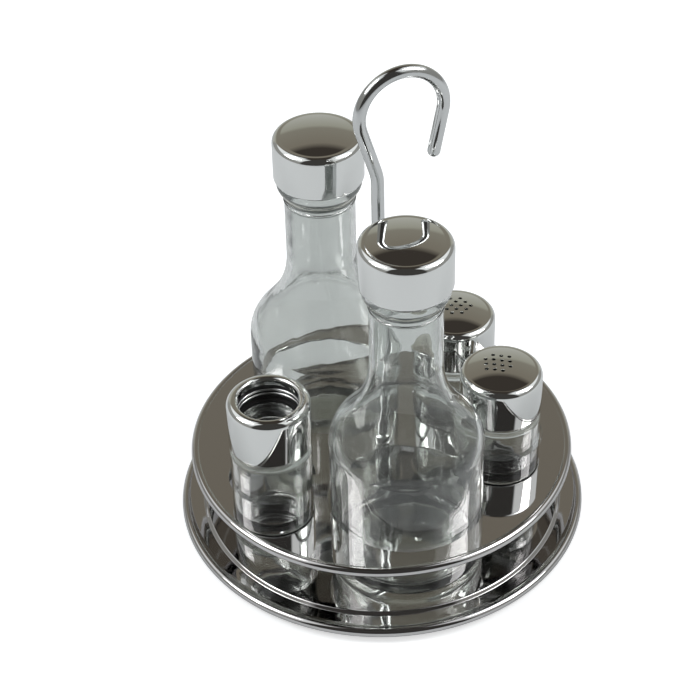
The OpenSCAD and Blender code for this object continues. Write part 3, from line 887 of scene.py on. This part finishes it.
def sleeve_like(name, node, body, material, bore, seat, through=0.0):
    """Insert that fills a cap: a bore up to the seat, and above it a roof or a narrower hole."""
    low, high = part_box(node)
    outer, at = half_width(node), middle(node)
    top, seat_z, soft = high.z - low.z, seat - low.z, 0.3 * MM
    section = (arc(outer - soft, soft, soft, -90, 0, 4) + arc(outer - soft, top - soft, soft, 0, 90, 4)
               + [(through, top), (through, seat_z), (bore, seat_z), (bore, soft), (bore + soft, 0)])
    add_piece(name, turned(name, section, at), body, material, node)


def disc(name, node, body, material, bore=0.0):
    """Flat seal with soft edges."""
    low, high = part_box(node)
    outer, at, top, soft = half_width(node), middle(node), high.z - low.z, 0.3 * MM
    section = (arc(outer - soft, soft, soft, -90, 0, 4) + arc(outer - soft, top - soft, soft, 0, 90, 4)
               + [(bore, top), (bore, 0)])
    add_piece(name, turned(name, section, at), body, material, node)


class CRUET_OT_shaker_caps(bpy.types.Operator):
    """Perforated domed caps of the shakers, with their inserts and gaskets"""
    bl_idname = "cruet.shaker_caps"
    bl_label = "Shaker Caps"

    def execute(self, context):
        s, jars = context.scene.cap_sizes, context.scene.jar_sizes
        cut = sprinkle_tree()
        for vessel, turn in zip(SHAKERS, (0, REAR_HOLES_TURN)):
            node = f"{vessel}_cap"
            at, outer = middle(node), half_width(node)
            side = height(node) - s.dome
            blank = turned(node, cap_section(s, outer, side), at)
            drills = self.drills(s, at, side, outer, turn)
            mesh = bake(node, cut, {"Cutters": drills, "Material": finish("chrome plate")}, blank)
            bpy.data.objects.remove(drills)
            keep_dome_smooth(mesh, s, at, outer, side)
            add_piece(f"{vessel}_chrome", mesh, f"{vessel}_screw_cap", "chrome plate", node)
            sleeve_like(f"{vessel}_inner", f"{vessel}_insert", f"{vessel}_screw_cap", "grey plastic",
                        jars.neck + 1.0 * MM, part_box(f"{vessel}_gasket")[1].z, jars.bore + 0.8 * MM)
            disc(f"{vessel}_liner", f"{vessel}_gasket", f"{vessel}_seal_ring", "seal foam",
                 jars.bore + 0.4 * MM)
        return {"FINISHED"}

    def drills(self, s, at, side, outer, turn):
        """Object that holds one flared cutter for each sprinkle hole."""
        verts, faces = [], []
        steps = 24
        spin = Matrix.Rotation(turn, 3, "Z")
        flare = 0.07 * MM
        for c, count in enumerate(SPRINKLE_COLUMNS):
            for i in range(count):
                # neighbouring columns are shifted a little against each other
                row = i - (count - 1) / 2 + ((c % 2) - 0.5) * 0.3
                spot = spin @ Vector(((c - 1.5) * s.pitch + s.holes_across,
                                      row * s.pitch + s.holes_back, 0))
                z = dome_height(s, outer, side, spot.length)
                start = len(verts)
                for radius, up in ((s.hole, -3 * MM), (s.hole, -flare), (s.hole + flare, 0.02 * MM),
                                   (s.hole + flare, 2 * MM)):
                    verts += circle(at.x + spot.x, at.y + spot.y, radius, at.z + z + up, steps)
                for level in range(3):
                    a = start + level * steps
                    faces += [(a + k, a + (k + 1) % steps, a + steps + (k + 1) % steps, a + steps + k)
                              for k in range(steps)]
                faces.append(tuple(reversed(range(start, start + steps))))
                faces.append(tuple(range(start + 3 * steps, start + 4 * steps)))
        drills = bpy.data.objects.new("drills", finished_mesh("drills", verts, faces))
        bpy.context.scene.collection.objects.link(drills)
        return drills


def keep_dome_smooth(mesh, s, at, outer, side):
    """Gives the cut dome the true normals of its ball, which the cutting upsets."""
    ball = dome_ball(s, outer)
    centre = Vector((at.x, at.y, at.z + side + s.dome - ball))
    mesh.shade_smooth()
    mesh.set_sharp_from_angle(angle=math.radians(38))
    normals = [Vector(n.vector) for n in mesh.corner_normals]
    for face in mesh.polygons:
        for corner in face.loop_indices:
            out = mesh.vertices[mesh.loops[corner].vertex_index].co - centre
            if abs(out.length - ball) < 0.03 * MM and face.normal.dot(out.normalized()) > 0.97:
                normals[corner] = out.normalized()
    mesh.normals_split_custom_set(normals)


class CRUET_OT_toothpick_cap(bpy.types.Operator):
    """Open ring cap of the toothpick jar, with its threaded insert and gasket"""
    bl_idname = "cruet.toothpick_cap"
    bl_label = "Toothpick Cap"

    def execute(self, context):
        s, jars = context.scene.cap_sizes, context.scene.jar_sizes
        at, outer, tall = middle("toothpick_cap"), half_width("toothpick_cap"), height("toothpick_cap")
        inner, hem, curl = s.opening + s.curl, s.shell * 0.45, s.curl
        lip_x, lip_z = outer - s.lip, tall - s.lip
        turn_down = tall - 3 * MM
        section = (arc(outer - hem, hem, hem, -90, 0, 4) + arc(lip_x, lip_z, s.lip, 0, 90, 14)
                   + arc(inner, tall - curl, curl, 90, 180, 10)
                   + [(s.opening, turn_down), (s.opening + s.shell, turn_down),
                      (s.opening + s.shell, tall - 1.6 * MM)]
                   + arc(lip_x, lip_z, s.lip - s.shell, 75, 0, 8) + [(outer - s.shell, hem)])
        add_piece("toothpick_chrome", turned("toothpick_chrome", section, at), "toothpick_screw_cap",
                  "chrome plate", "toothpick_cap")
        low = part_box("toothpick_gasket")[1].z
        sleeve_like("toothpick_inner", "toothpick_insert", "toothpick_screw_cap", "grey plastic",
                    jars.neck + 1.0 * MM, low, s.opening + 0.6 * MM)
        disc("toothpick_liner", "toothpick_gasket", "toothpick_seal_ring", "seal foam",
             jars.bore + 0.4 * MM)
        mesh = bake("toothpick_ridges", thread_tree(),
                    {"Radius": s.opening + 0.6 * MM, "Pitch": 1.9 * MM, "Turns": 2.2, "Ridge": 0.5 * MM,
                     "Centre": Vector((at.x, at.y, low + 1.0 * MM)), "Material": finish("steel hardware")})
        add_piece("toothpick_ridges", mesh, "toothpick_screw_cap", "steel hardware")
        return {"FINISHED"}


# ---- Stage, light and camera ----

TENT_HORIZON = (0.46, 0.46, 0.42)
TENT_HAZE = (0.34, 0.335, 0.28)
TENT_WALL_LOW = (0.24, 0.225, 0.185)
TENT_WALL = (0.205, 0.184, 0.148)
TENT_CEILING = (0.045, 0.038, 0.032)
TENT_SIDE = (0.30, 0.30, 0.285)
TENT_SOFTBOX = (0.90, 0.92, 0.92)
TENT_BEHIND = (0.05, 0.048, 0.045, 1)
FLOOR_TONE = (0.66, 0.68, 0.69, 1)
FLOOR_PAINTED_DARK = (0.09, 0.1, 0.1, 1)      # painted dark: the floor far from the set as glass alone sees it, which draws the glass's outlines
ASIDE_CENTRE = (0, 0.13, 0)
ASIDE_START, ASIDE_END = 0.2, 0.28
CAMERA_PLACE = Vector((-0.01142, -0.63666, 0.59829))
CAMERA_PITCH = 0.6858     # radians below level
CAMERA_ROLL = -0.0252
CAMERA_LENS = 110.7       # millimetres, on a sensor 36 mm wide


def emitter(name, verts, faces, build):
    """Glowing stage card that shows in metal and glass alone."""
    mesh = bpy.data.meshes.new(name)
    mesh.from_pydata(verts, [], faces)
    mesh.shade_smooth()
    card = bpy.data.objects.new(name, mesh)
    bpy.context.scene.collection.objects.link(card)
    material = bpy.data.materials.new(name)
    material.use_nodes = True
    nodes, links = material.node_tree.nodes, material.node_tree.links
    nodes.clear()
    glow = nodes.new("ShaderNodeEmission")
    out = nodes.new("ShaderNodeOutputMaterial")
    links.new(glow.outputs[0], out.inputs["Surface"])
    build(nodes, links, glow)
    mesh.materials.append(material)
    card.visible_camera = False
    card.visible_diffuse = False
    card.visible_shadow = False


class CRUET_OT_stage(bpy.types.Operator):
    """Pale floor, studio tent, soft lamps, white surroundings and the camera"""
    bl_idname = "cruet.stage"
    bl_label = "Stage"

    def execute(self, context):
        self.floor()
        self.tent_dome()
        self.lamps()
        self.world(context)
        self.camera(context)
        return {"FINISHED"}

    def floor(self):
        size = 3.0
        corners = [(-size, -size, 0), (size, -size, 0), (size, size, 0), (-size, size, 0)]
        mesh = bpy.data.meshes.new("floor")
        mesh.from_pydata(corners, [], [(0, 1, 2, 3)])
        floor = bpy.data.objects.new("floor", mesh)
        bpy.context.scene.collection.objects.link(floor)
        material, nodes, links, shader = new_material("pale floor")
        shader.inputs["Roughness"].default_value = 0.9
        shader.inputs["Specular IOR Level"].default_value = 0.1
        shader.inputs["Emission Color"].default_value = (1, 1, 1, 1)
        links.new(self.seen(nodes, links, 0.62, 0.0), shader.inputs["Emission Strength"])
        # painted dark: glass that bends the view far aside sees the floor there dark, though it stays pale to
        # the camera and in metal, and this draws the glass's outlines
        place = nodes.new("ShaderNodeTexCoord")
        gap = nodes.new("ShaderNodeVectorMath")
        gap.operation = "DISTANCE"
        gap.inputs[1].default_value = ASIDE_CENTRE
        links.new(place.outputs["Object"], gap.inputs[0])
        path = nodes.new("ShaderNodeLightPath")
        away = mapped(nodes, links, gap.outputs["Value"], 0, 1, ASIDE_START, ASIDE_END)
        # painted dark for transmission rays only, far from the set
        painted_dark = maths(nodes, links, "MULTIPLY", away, path.outputs["Is Transmission Ray"])
        links.new(blend(nodes, links, painted_dark, FLOOR_TONE, FLOOR_PAINTED_DARK), shader.inputs["Base Color"])
        mesh.materials.append(material)

    def seen(self, nodes, links, straight, mirrored):
        """Brightness that the camera sees straight, or in metal and glass, and no light on the object."""
        path = nodes.new("ShaderNodeLightPath")
        parts = [maths(nodes, links, "MULTIPLY", path.outputs[ray], strength)
                 for ray, strength in (("Is Camera Ray", straight), ("Is Glossy Ray", mirrored),
                                       ("Is Transmission Ray", mirrored))]
        return maths(nodes, links, "MAXIMUM", maths(nodes, links, "MAXIMUM", *parts[:2]), parts[2])

    def tent_dome(self):
        """Half ball of reflected surroundings."""
        radius, rings, steps = 1.6, 24, 72
        verts = [(0, 0, radius)]
        for k in range(1, rings + 1):
            down = math.radians(89.5 * k / rings)
            verts += circle(0, 0, radius * math.sin(down), radius * math.cos(down), steps)
        faces = [(0, 1 + i, 1 + (i + 1) % steps) for i in range(steps)]
        for k in range(rings - 1):
            a = 1 + k * steps
            faces += [(a + i, a + steps + i, a + steps + (i + 1) % steps, a + (i + 1) % steps)
                      for i in range(steps)]
        emitter("studio_tent", verts, faces, self.tent)

    def tent(self, nodes, links, glow):
        """Light horizon, olive-brown wall, dark ceiling, a softbox on each side, dark behind the camera."""
        place = nodes.new("ShaderNodeTexCoord")
        split = nodes.new("ShaderNodeSeparateXYZ")
        links.new(place.outputs["Object"], split.inputs[0])

        def calc(operation, *values):
            return maths(nodes, links, operation, *values)

        x, y, z = split.outputs
        level = calc("SQRT", calc("ADD", calc("MULTIPLY", x, x), calc("MULTIPLY", y, y)))
        up = calc("ARCTAN2", z, level)
        round_it = calc("ABSOLUTE", calc("ARCTAN2", x, y))

        def ramp(value, top, stops):
            made = nodes.new("ShaderNodeValToRGB")
            elements = made.color_ramp.elements
            while len(elements) < len(stops):
                elements.new(0.5)
            for element, (degrees, tone) in zip(elements, stops):
                element.position = degrees / top
                element.color = (*tone, 1)
            links.new(calc("DIVIDE", value, math.radians(top)), made.inputs["Fac"])
            return made.outputs["Color"]

        rear = ramp(up, 90, ((0, TENT_HORIZON), (14, TENT_HORIZON), (30, TENT_HAZE), (33, TENT_WALL_LOW),
                             (49, TENT_WALL), (54, TENT_CEILING)))
        beside = ramp(up, 90, ((0, TENT_SIDE), (30, TENT_SIDE), (34, TENT_SOFTBOX), (72, TENT_SOFTBOX),
                               (77, TENT_CEILING)))
        at_side = ramp(round_it, 180, ((0, (0, 0, 0)), (40, (0, 0, 0)), (46, (1, 1, 1))))
        at_back = ramp(round_it, 180, ((0, (0, 0, 0)), (134, (0, 0, 0)), (140, (1, 1, 1))))

        around = blend(nodes, links, at_side, rear, beside)
        links.new(blend(nodes, links, at_back, around, TENT_BEHIND), glow.inputs["Color"])
        glow.inputs["Strength"].default_value = 1

    def lamps(self):
        """A softbox on each side."""
        for name, place, size, watts in (("softbox_left", (-0.85, -0.1, 1.0), (0.5, 0.7), 7),
                                         ("softbox_right", (0.85, -0.1, 1.0), (0.5, 0.7), 7)):
            light = bpy.data.lights.new(name, "AREA")
            light.shape = "RECTANGLE"
            light.size, light.size_y = size
            light.energy = watts
            lamp = bpy.data.objects.new(name, light)
            lamp.location = place
            lamp.rotation_mode = "QUATERNION"
            lamp.rotation_quaternion = (Vector((0, 0, 0.06)) - Vector(place)).to_track_quat("-Z", "Y")
            lamp.visible_camera = False
            bpy.context.scene.collection.objects.link(lamp)

    def world(self, context):
        world = bpy.data.worlds.new("white surroundings")
        context.scene.world = world
        world.use_nodes = True
        nodes, links = world.node_tree.nodes, world.node_tree.links
        back = nodes["Background"]
        back.inputs["Color"].default_value = (1, 1, 1, 1)
        lift = maths(nodes, links, "ADD", self.seen(nodes, links, 0.6, 0.3), 0.4)
        links.new(lift, back.inputs["Strength"])
        context.scene.view_settings.view_transform = "Standard"

    def camera(self, context):
        data = bpy.data.cameras.new("camera")
        data.sensor_width = 36
        data.lens = CAMERA_LENS
        data.clip_start, data.clip_end = 0.05, 20
        camera = bpy.data.objects.new("camera", data)
        ahead = Vector((0, math.cos(CAMERA_PITCH), -math.sin(CAMERA_PITCH)))
        right0 = Vector((1, 0, 0))
        up0 = right0.cross(ahead)
        right = math.cos(CAMERA_ROLL) * right0 + math.sin(CAMERA_ROLL) * up0
        up = -math.sin(CAMERA_ROLL) * right0 + math.cos(CAMERA_ROLL) * up0
        turn = Matrix((right, up, -ahead)).transposed()
        camera.matrix_world = Matrix.Translation(CAMERA_PLACE) @ turn.to_4x4()
        bpy.context.scene.collection.objects.link(camera)
        context.scene.camera = camera


# ---- Panel and registration ----

OPERATORS = (CRUET_OT_tray, CRUET_OT_plate, CRUET_OT_hook, CRUET_OT_fittings, CRUET_OT_bottles,
             CRUET_OT_jars, CRUET_OT_bottle_caps, CRUET_OT_shaker_caps, CRUET_OT_toothpick_cap,
             CRUET_OT_stage)


class CRUET_PT_panel(bpy.types.Panel):
    """Lists the sizes, the finishes and the pieces of the cruet set"""
    bl_idname = "CRUET_PT_panel"
    bl_label = "Cruet Set"
    bl_space_type = "VIEW_3D"
    bl_region_type = "UI"
    bl_category = "Cruet Set"

    def draw(self, context):
        for attribute, group in GROUPS.items():
            box = self.layout.box()
            box.label(text=group.__doc__)
            for key in group.__annotations__:
                box.prop(getattr(context.scene, attribute), key)
        for operator in OPERATORS:
            self.layout.operator(operator.bl_idname)


CLASSES = (*GROUPS.values(), *OPERATORS, CRUET_PT_panel)


def register():
    for cls in CLASSES:
        bpy.utils.register_class(cls)
    for attribute, group in GROUPS.items():
        setattr(bpy.types.Scene, attribute, PointerProperty(type=group))


def unregister():
    for attribute in GROUPS:
        delattr(bpy.types.Scene, attribute)
    for cls in reversed(CLASSES):
        bpy.utils.unregister_class(cls)


def main():
    register()
    for operator in OPERATORS:
        category, name = operator.bl_idname.split(".")
        getattr(getattr(bpy.ops, category), name)()


if __name__ == "__main__":
    main()
